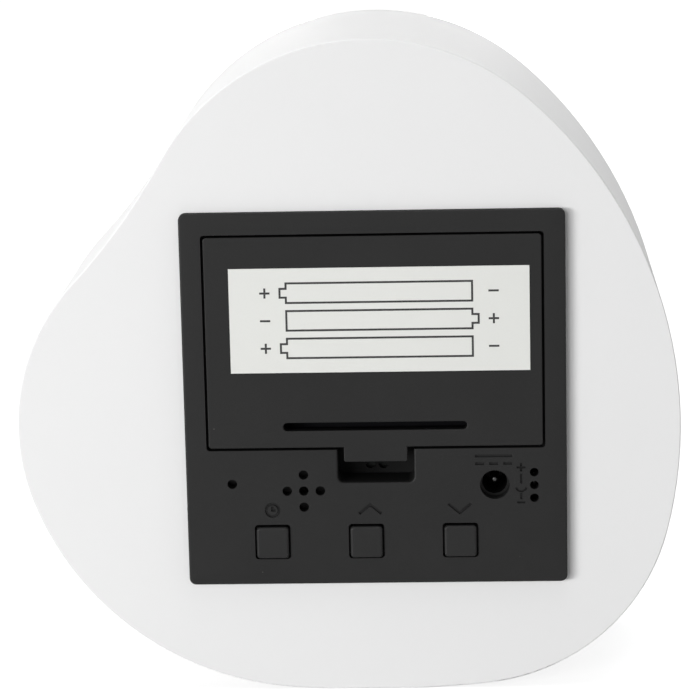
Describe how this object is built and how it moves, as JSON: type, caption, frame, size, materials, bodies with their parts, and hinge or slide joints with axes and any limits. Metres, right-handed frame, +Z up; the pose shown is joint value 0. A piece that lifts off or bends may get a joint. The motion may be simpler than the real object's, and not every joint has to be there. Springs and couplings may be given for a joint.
{
  "type": "digital clock",
  "caption": "Pebble-shaped desk clock: white body with a flat base, display behind the front, and a black square battery and control module with a swing-out door in its back.",
  "frame": {"origin": "middle of the part's box on the flat base that it stands on", "axes": "+Z up, -Y out of the front, +Y out of the back with the battery door, +X right seen from the front"},
  "size_m": [0.0974, 0.0406, 0.0972],
  "materials": {
    "housing_white": "fibreboard under a smooth matt white coat",
    "front_white": "smooth matt white, lets the display shine through",
    "case_black": "fine spark-eroded black moulding",
    "button_black": "smooth black moulding",
    "label_paper": "plain white sticker",
    "plunger_plastic": "black moulding",
    "switch_black": "black moulding",
    "board_coat": "glass-fibre board under a black coat",
    "contact_metal": "nickel-plated steel",
    "sensor_bead": "dipped resin bead",
    "reflector_white": "white moulding",
    "led_white": "light chips under clear resin",
    "cable_grey": "soft insulation",
    "cell_jacket": "plain printed jacket on a steel can"
  },
  "bodies": {
    "clock": {"housing": "housing_white", "front_cover": "front_white", "back_case": "case_black", "tact_switches": "switch_black", "dc_jack": "switch_black", "buzzer": "switch_black", "board_header": "switch_black", "display_header": "switch_black", "clock_chip": "switch_black", "control_board": "board_coat", "display_board": "board_coat", "dc_jack_pin": "contact_metal", "dc_jack_contact": "contact_metal", "contact_springs": "contact_metal", "contact_plates": "contact_metal", "board_screws": "contact_metal", "display_screws": "contact_metal", "microphone": "contact_metal", "quartz_crystal": "contact_metal", "smoothing_capacitor": "contact_metal", "temperature_sensor": "sensor_bead", "reflector_block": "reflector_white", "diffuser_film": "reflector_white", "led_chips": "led_white", "ribbon_cable": "cable_grey", "battery_leads": "cable_grey", "cell_upper": "cell_jacket", "cell_middle": "cell_jacket", "cell_lower": "cell_jacket"},
    "battery_door": {"battery_door": "case_black", "door_label": "label_paper"},
    "set_button": {"set_button": "button_black", "set_switch_plunger": "plunger_plastic"},
    "up_button": {"up_button": "button_black", "up_switch_plunger": "plunger_plastic"},
    "down_button": {"down_button": "button_black", "down_switch_plunger": "plunger_plastic"}
  },
  "joints": [
    {"name": "door_hinge", "type": "hinge", "parent": "clock", "child": "battery_door", "pos_m": [-0.00402, 0.01985, 0.06888], "axis": [1, 0, 0], "range_deg": [0, 80]},
    {"name": "set_press", "type": "slide", "parent": "clock", "child": "set_button", "axis": [0, -1, 0], "range_m": [0, 0.0005], "stiffness_N_per_m": 300},
    {"name": "up_press", "type": "slide", "parent": "clock", "child": "up_button", "axis": [0, -1, 0], "range_m": [0, 0.0005], "stiffness_N_per_m": 300},
    {"name": "down_press", "type": "slide", "parent": "clock", "child": "down_button", "axis": [0, -1, 0], "range_m": [0, 0.0005], "stiffness_N_per_m": 300}
  ]
}
